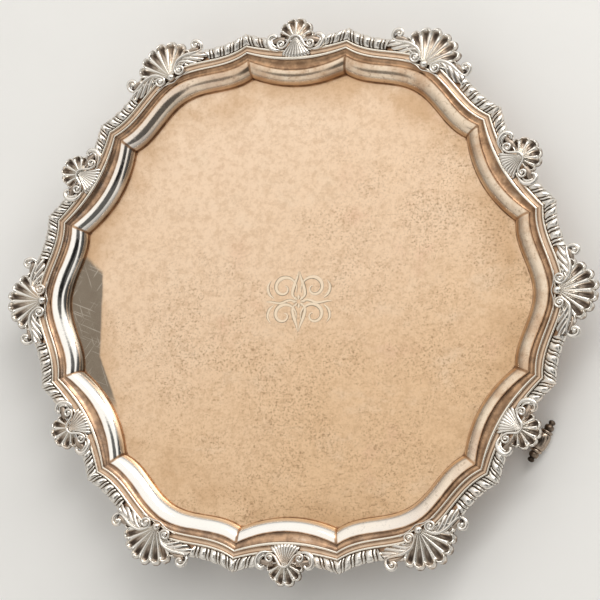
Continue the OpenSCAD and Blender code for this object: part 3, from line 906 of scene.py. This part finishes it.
def outer_scroll(metal, angle, side):
    """Curls back from the leaf's tip towards the fan, over two webs of metal."""
    outer = [(0.150, 1.028, 2.6), (0.163, 1.040, 2.9), (0.166, 1.056, 3.1),
             (0.158, 1.071, 3.3), (0.144, 1.074, 3.5), (0.134, 1.065, 3.6),
             (0.136, 1.053, 3.7), (0.146, 1.050, 3.8)]
    scroll(metal, outer, [0.7, 1.1, 1.3, 1.3, 1.2, 1.1, 1.0, 0.9], angle, side, 60)
    pearl(metal, 1.058, 0.1475 * side, 3.6, 1.5, angle)
    web = [(0.095, 1.050, 2.4), (0.115, 1.050, 2.6), (0.132, 1.046, 2.6), (0.148, 1.040, 2.4)]
    scroll(metal, web, [0.8, 1.3, 1.6, 1.4], angle, side, 30, 0.55)
    low_web = [(0.150, 1.055, 1.6), (0.146, 1.050, 1.6), (0.142, 1.044, 1.6)]
    scroll(metal, low_web, [1.8, 2.6, 1.9], angle, side, 12, 0.8)


def model_large_shell(k):
    angle = k * LOBE_TURN
    metal = Chasing()
    fan(metal, 1.0 * CUSP, math.radians(76), 8, 0.1235 * CUSP, 0.0235 * CUSP,
        LARGE_HEIGHTS, angle)
    pearl(metal, 0.997, 0, 4.0, 2.7, angle)
    # Fine rim of the casting, dipping round the pearl.
    rim = [(t, 0.9835 - 0.0075 * math.exp(-(t / 0.019) ** 2), 3.25)
           for t in np.linspace(-0.075, 0.075, 13)]
    scroll(metal, rim, [0.2] + [0.42] * 11 + [0.2], angle, 1)
    for side in (1, -1):
        leaf(metal, angle, side)
        inner_volute(metal, angle, side)
        outer_scroll(metal, angle, side)
    name = "large_shell_%d" % (k + 1)
    made = metal.piece("cast_" + name, 60)
    return finish_piece(made, "shell_silver", "shell_silver", name)


for k in range(6):
    made = model_large_shell(k)
print("large shell:", len(made.data.polygons), "faces")

# %% [markdown]
# ## The small shells
#
# A small shell is double. Outside an arch it opens outwards in six deep flutes. Inside
# the arch a second fan of fine convex ribs laps over the reeded wire. The arch curls
# into a scroll at each foot, and a crescent scroll closes each side.

# %% Model a small shell
SMALL_HEIGHTS = [(0.0, 4.0, 4.3), (0.2, 3.2, 4.2), (0.45, 2.0, 4.0), (0.7, 1.5, 3.7),
                 (0.88, 1.7, 3.3), (0.96, 1.9, 2.8), (1.0, 1.8, 2.3)]


def apron(metal, angle):
    """Inner fan of fine ribs that laps over the wire."""
    ribs, steps = 9, 12
    half = math.radians(35)
    column = np.arange(ribs * steps + 1)[:, None]
    turn = np.linspace(-half, half, len(column))[:, None]
    share = np.linspace(0.10, 1.0, 30)[None]
    local = (column % steps) / steps * 2 - 1
    round_rib = np.sqrt(np.clip(1 - local ** 2 * 0.96, 0, 1))
    r = 0.0885 * CUSP * share * (1 - 0.035 * (1 - round_rib) * share)
    n = 1.005 * CUSP - r * np.cos(turn)
    t = r * np.sin(turn) * (1.06 + 0.10 * share)
    z = np.interp(share, [0, 0.35, 0.7, 0.86, 0.94, 1.0], [4.3, 4.1, 3.9, 3.8, 3.3, 2.3])
    z = z + 0.62 * (round_rib - 0.6) * soft_step(share, 0.05, 0.35)
    dark = np.clip((0.62 - round_rib) * 1.9, 0, 1) * soft_step(share, 0.1, 0.4)
    dark = np.maximum(dark, soft_step(share, 0.98, 1.0) * 0.6)
    top = turned(n, t, SEAT + MM * z, angle)
    under = top.copy()
    under[..., 2] -= 0.9 * MM
    metal.shell(top, under, dark, flip=True)


def crescent(metal, angle, side):
    """The arch's foot curl and the double crescent beside it, joined by a web."""
    foot_curl = curl((0.0565, 0.972), math.radians(-115), 1.25, 0.0165, 0.005, 4.1, 4.8)
    scroll(metal, foot_curl, np.linspace(0.75, 0.7, len(foot_curl)), angle, side, 60)
    pearl(metal, 0.972, 0.0565 * side, 4.0, 0.9, angle)
    outer = [(0.060, 0.951, 2.9), (0.078, 0.951, 3.2), (0.095, 0.958, 3.4),
             (0.106, 0.975, 3.5), (0.107, 0.993, 3.4), (0.097, 1.006, 3.3),
             (0.084, 1.008, 3.3), (0.075, 1.000, 3.4)]
    scroll(metal, outer, [0.7, 1.2, 1.5, 1.6, 1.6, 1.5, 1.2, 0.9], angle, side, 60)
    inner = [(0.074, 0.962, 3.0), (0.088, 0.968, 3.4), (0.096, 0.980, 3.6),
             (0.096, 0.993, 3.4)]
    scroll(metal, inner, [0.6, 0.9, 0.9, 0.6], angle, side, 30)
    web = [(0.045, 0.990, 1.7), (0.066, 0.990, 1.9), (0.092, 0.984, 1.6)]
    scroll(metal, web, [2.2, 2.4, 1.9], angle, side, 20, 0.6)


def model_small_shell(k):
    angle = k * LOBE_TURN + HALF_TURN
    metal = Chasing()
    fan(metal, 0.988 * CUSP, math.radians(88), 6, 0.0655 * CUSP, 0.0245 * CUSP,
        SMALL_HEIGHTS, angle, scale=0.8)
    apron(metal, angle)
    half_arch = [(0.050, 0.957, 4.2), (0.037, 0.966, 4.5), (0.027, 0.981, 4.7),
                 (0.017, 0.997, 4.8)]
    arch = [(-t, n, z) for t, n, z in half_arch] + [(0.0, 1.004, 4.9)] + half_arch[::-1]
    scroll(metal, arch, [0.7, 0.75, 0.8, 0.85, 0.9, 0.85, 0.8, 0.75, 0.7], angle, 1, 70)
    for side in (1, -1):
        crescent(metal, angle, side)
    name = "small_shell_%d" % (k + 1)
    made = metal.piece("cast_" + name, 60)
    return finish_piece(made, "shell_silver", "shell_silver", name)


for k in range(6):
    made = model_small_shell(k)
print("small shell:", len(made.data.polygons), "faces")

# %% [markdown]
# ## The feet
#
# Each foot is a cast leg that sweeps down from the flange and out to a volute. The
# volute is a little turned roll lying on its side, with a collar, a knob and a boss at
# each end. The leg is a swept oval that spreads where it meets the flange.

# %% Cast a foot
FOOT_TURN = math.radians(90)
ROLL = 4.6 * MM


def leg(metal, top, axis_n, axis_z, angle):
    """A swept oval from the flange down to the roll. Its rows: out, height, half sizes."""
    spine = eased([(0.972 * CUSP, top, 9.5, 3.9), (0.974 * CUSP, top - 2.2 * MM, 8.2, 3.7),
                   (0.975 * CUSP, top - 5.5 * MM, 5.4, 3.3),
                   (0.972 * CUSP, top - 10 * MM, 4.0, 3.0),
                   (0.977 * CUSP, top - 15 * MM, 3.6, 2.8),
                   (0.993 * CUSP, top - 20 * MM, 3.7, 2.6),
                   (axis_n - 6.0 * MM, axis_z + 2.4 * MM, 4.2, 2.4),
                   (axis_n - 1.5 * MM, axis_z + 0.6 * MM, 4.6, 2.0)], 48)
    a = np.linspace(0, 2 * np.pi, 32, endpoint=False)[None]
    along = np.gradient(spine[:, :2], axis=0)
    along /= np.linalg.norm(along, axis=1)[:, None]
    # A leaf is chased down the front of the leg: a mid rib with a groove to each side.
    rib = 1 + 0.10 * np.cos(a * 6) * np.clip(np.sin(a + np.pi), 0, 1)
    depth = spine[:, 3:4] * MM * np.sin(a) * rib
    n = spine[:, :1] - along[:, 1:2] * depth
    z = np.minimum(spine[:, 1:2] + along[:, :1] * depth, top)
    t = spine[:, 2:3] * MM * np.cos(a)
    dark = np.clip(0.5 + 0.5 * np.cos(a * 6), 0, 1) * 0.6 + 0 * z
    rings = turned(n, t, z, angle)
    metal.grid(rings, dark, close_v=True)
    for ring, last in ((rings[0], False), (rings[-1], True)):
        middle = np.repeat(ring.mean(0)[None], len(ring), 0)
        rows = [ring, middle] if last else [middle, ring]
        metal.grid(np.stack(rows), 0.5, close_v=True)


def turned_roll(metal, axis_n, axis_z, angle):
    """The roll on its side, the same each way from the middle to the bosses."""
    half = [(0, 4.6), (2.2, 4.55), (4.2, 4.2), (5.2, 3.7), (5.5, 3.0), (5.8, 3.7),
            (6.5, 4.0), (7.2, 3.7), (7.5, 2.5), (7.9, 2.5), (8.6, 3.0), (9.6, 3.1),
            (10.6, 2.7), (11.2, 1.7), (11.6, 1.5), (12.1, 2.0), (12.9, 2.2), (13.7, 1.8),
            (14.2, 0.9), (14.3, 0.05)]
    profile = np.array([(-x, r) for x, r in half[:0:-1]] + half) * MM
    turn = np.linspace(0, 2 * np.pi, 36, endpoint=False)[None]
    r = profile[:, 1:2]
    n = axis_n + r * np.cos(turn)
    z = np.maximum(axis_z + r * np.sin(turn), 0)
    dark = np.clip(1.2 - r / (3.2 * MM), 0, 1) + 0 * turn
    metal.grid(turned(n, profile[:, :1] + 0 * turn, z, angle), dark, close_v=True)


def cast_foot(k):
    low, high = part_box("foot_%d" % (k + 1))
    node = "foot_%d" % (k + 1)
    axis_n, axis_z = math.hypot(*mounts[node + "_pad"][:2]), ROLL - 0.3 * MM
    angle = -HALF_TURN + k * FOOT_TURN
    metal = Chasing()
    leg(metal, high[2], axis_n, axis_z, angle)
    turned_roll(metal, axis_n, axis_z, angle)
    return finish_piece(metal.piece("volute_" + node, 60), "foot_silver", "foot_silver", node)


for k in range(4):
    made = cast_foot(k)
print("foot:", len(made.data.polygons), "faces")

# %% [markdown]
# ## The engraved ornament
#
# In the middle of the well the engraver has cut a small symmetrical device of scrolls and
# leaves. A bright cut shows as a fine groove between two raised burrs. Each stroke is a
# narrow ribbon with that section, swelling and tapering as the graver is pressed.

# %% Cut the ornament
ORNAMENT = (2.5 * MM, -2.0 * MM)


def stroke(metal, points, width):
    """One graver's stroke through (x, y) points in mm, with width in mm at each."""
    path = eased([(x, y, w) for (x, y), w in zip(points, width)], 12 * len(points))
    along = np.gradient(path[:, :2], axis=0)
    along /= np.linalg.norm(along, axis=1)[:, None] + 1e-9
    side = np.stack([-along[:, 1], along[:, 0]], 1)
    across = np.array([-1, -0.62, 0, 0.62, 1])
    lift = np.array([0.004, 0.05, 0.012, 0.05, 0.004])
    xy = path[:, None, :2] + side[:, None] * across[None, :, None] * path[:, None, 2:] / 2
    z = lift * np.clip(path[:, 2:] / 0.5, 0.2, 1)
    points = np.concatenate([xy * MM, (z * MM)[..., None]], -1)
    points += [ORNAMENT[0], ORNAMENT[1], WELL + 0.16 * MM]
    # The edge on one side of each cut takes the darkest colour and the other edge less:
    # painted shade along one wall of the cut.
    metal.grid(points, np.broadcast_to([1.2, 0.35, 0.1, 0.0, 0.6], z.shape), flip=True)


def cut_quarter(metal, sx, sy):
    """A big scroll, a leaf tip and a frond, in the quarter that sx and sy point to."""
    start = math.radians(200 if sx > 0 else -20)
    scroll_line = curl((9.5 * sx, 8.5 * sy), start, -1.25 * sx, 8.5, 1.2, 0, 0, 18)
    swelling = np.interp(range(18), [0, 5, 17], [0.5, 2.6, 0.6])
    stroke(metal, [(x, y) for x, y, _ in scroll_line], swelling)
    tip = [(1.5, 1.0), (4.0, 4.5), (3.0, 10), (1.2, 15), (0.2, 19)]
    stroke(metal, [(x * sx, y * sy) for x, y in tip], [0.5, 1.8, 2.2, 1.4, 0.3])
    frond = [(16, 2.0), (19, 5.0), (20, 9.5), (18, 13.5)]
    stroke(metal, [(x * sx, y * sy) for x, y in frond], [0.5, 1.7, 1.5, 0.3])


def cut_ornament():
    metal = Chasing()
    for sx in (1, -1):
        for sy in (1, -1):
            cut_quarter(metal, sx, sy)
        bar = [(1.0 * sx, 0), (6 * sx, 0.9), (12 * sx, -0.9), (18 * sx, 0), (21.5 * sx, 0)]
        stroke(metal, bar, [0.5, 1.6, 1.5, 1.2, 0.2])
    for a in np.linspace(0, 2 * np.pi, 8, endpoint=False):
        petal = [(r * math.cos(a), r * math.sin(a)) for r in (1.2, 3.0, 4.2)]
        stroke(metal, petal, [0.5, 1.8, 0.3])
    made = metal.piece("engraved_ornament", 60)
    return finish_piece(made, "bright_cut_silver", "tray_silver")


made = cut_ornament()
print("ornament:", len(made.data.polygons), "faces")

# %% [markdown]
# ## Table, light and camera
#
# Polished metal shows its surroundings, so the room matters as much as the metal. The
# salver stands on a pale floor. Two panes of one window rake across it from behind and
# draw white lines on the bouge that faces it. The world is a white room with a few soft dark
# patches, and these give the curved parts their dark bands. The camera looks almost
# straight down.

# %% Floor
FLOOR_HALF = 4.0
FLOOR_DROP = 0.1 * MM


def lay_floor():
    """A wide square, a hair below the feet so that no faces coincide."""
    mesh = bpy.data.meshes.new("floor")
    corners = [(x * FLOOR_HALF, y * FLOOR_HALF, -FLOOR_DROP)
               for x, y in ((-1, -1), (1, -1), (1, 1), (-1, 1))]
    mesh.from_pydata(corners, [], [(0, 1, 2, 3)])
    made = bpy.data.objects.new("floor", mesh)
    bpy.context.collection.objects.link(made)
    f = Finish("pale_floor")
    grain = f.clouds(30.0, 5.0, 0.6)
    # The faint emission is painted light: the floor glows a little, which lifts its shadow.
    f.set(Base_Color=f.mix(grain, (0.85, 0.84, 0.815), (0.88, 0.87, 0.845)), Roughness=0.85,
          Emission_Color=(1.0, 0.98, 0.95, 1.0), Emission_Strength=0.02)
    made.data.materials.append(f.material)
    return made


print("floor:", lay_floor().name)

# %% Lights
def facing_frame(right, up, back, place):
    """The matrix of an object at a place, from its own three directions."""
    rows = np.stack([right, up, back, place], 1).tolist()
    return Matrix(rows + [[0, 0, 0, 1]])


def soft_light(name, place, size, power):
    """A rectangular light that points at the middle of the floor."""
    data = bpy.data.lights.new(name, "AREA")
    data.shape = "RECTANGLE"
    data.size, data.size_y = size
    data.energy = power
    data.color = (1.0, 0.99, 0.98)
    made = bpy.data.objects.new(name, data)
    bpy.context.collection.objects.link(made)
    back = np.array(place, float)
    back /= np.linalg.norm(back)
    side = np.cross([0, 1, 0.01], back)
    side /= np.linalg.norm(side)
    made.matrix_world = facing_frame(side, np.cross(back, side), back, place)
    made.visible_camera = False
    return made


soft_light("window_upper_pane", (0.97, 1.38, 1.475), (2.4, 0.40), 12)
soft_light("window_lower_pane", (1.11, 1.59, 1.04), (2.4, 0.36), 11)

# %% World
def towards(azimuth, elevation):
    """A unit vector from two angles in degrees."""
    a, e = math.radians(azimuth), math.radians(elevation)
    return (math.cos(a) * math.cos(e), math.sin(a) * math.cos(e), math.sin(e))


def light_world():
    """A white room with soft dark patches, and a little brighter on the window's side."""
    world = bpy.data.worlds.new("studio")
    bpy.context.scene.world = world
    world.use_nodes = True
    room = Nodes(world.node_tree, "Generated")

    def facing(azimuth, elevation):
        return room.node("ShaderNodeVectorMath", {"operation": "DOT_PRODUCT"},
                         room.place, towards(azimuth, elevation), output="Value")

    over_the_viewer = facing(-40, 63).spread(0.89, 0.935) * 0.88
    near_side = facing(-60, 12).spread(0.80, 0.97) * 0.35
    gap = facing(15, 66).spread(0.945, 0.975) * 0.88
    low_right = facing(2, 10).spread(0.88, 0.95) * 0.90
    beam = facing(-127, 60).spread(0.974, 0.986) * 0.75
    low_left = facing(180, 5).spread(0.55, 0.95) * 0.35
    horizon = facing(0, 90).spread(0.42, 0.05) * 0.45
    level = 0.88 + facing(70, 50).spread(0.2, 0.95) * 0.22
    for shade in (over_the_viewer, near_side, gap, low_right, beam, low_left, horizon):
        level = level * (1 - shade)
    background = world.node_tree.nodes["Background"]
    background.inputs["Color"].default_value = (1.0, 0.985, 0.955, 1)
    world.node_tree.links.new(level.socket, background.inputs["Strength"])
    return world


print("world:", light_world().name)

# %% Camera
CAMERA_PLACE = np.array([1.886, -1.069, 6.750]) * CUSP + [0, 0, RIM]
LENS = 113.8


def set_camera():
    data = bpy.data.cameras.new("camera")
    data.sensor_width = 36
    data.lens = LENS
    data.clip_end = 20
    made = bpy.data.objects.new("camera", data)
    bpy.context.collection.objects.link(made)
    bpy.context.scene.camera = made
    right = np.array([0.965, 0.021, -0.261])
    up = np.array([0.019, 0.989, 0.149])
    right /= np.linalg.norm(right)
    up -= right * (up @ right)
    up /= np.linalg.norm(up)
    made.matrix_world = facing_frame(right, up, np.cross(right, up), CAMERA_PLACE)
    return made


camera = set_camera()
bpy.context.scene.view_settings.view_transform = "Standard"
print("camera at", [round(x, 3) for x in camera.location])
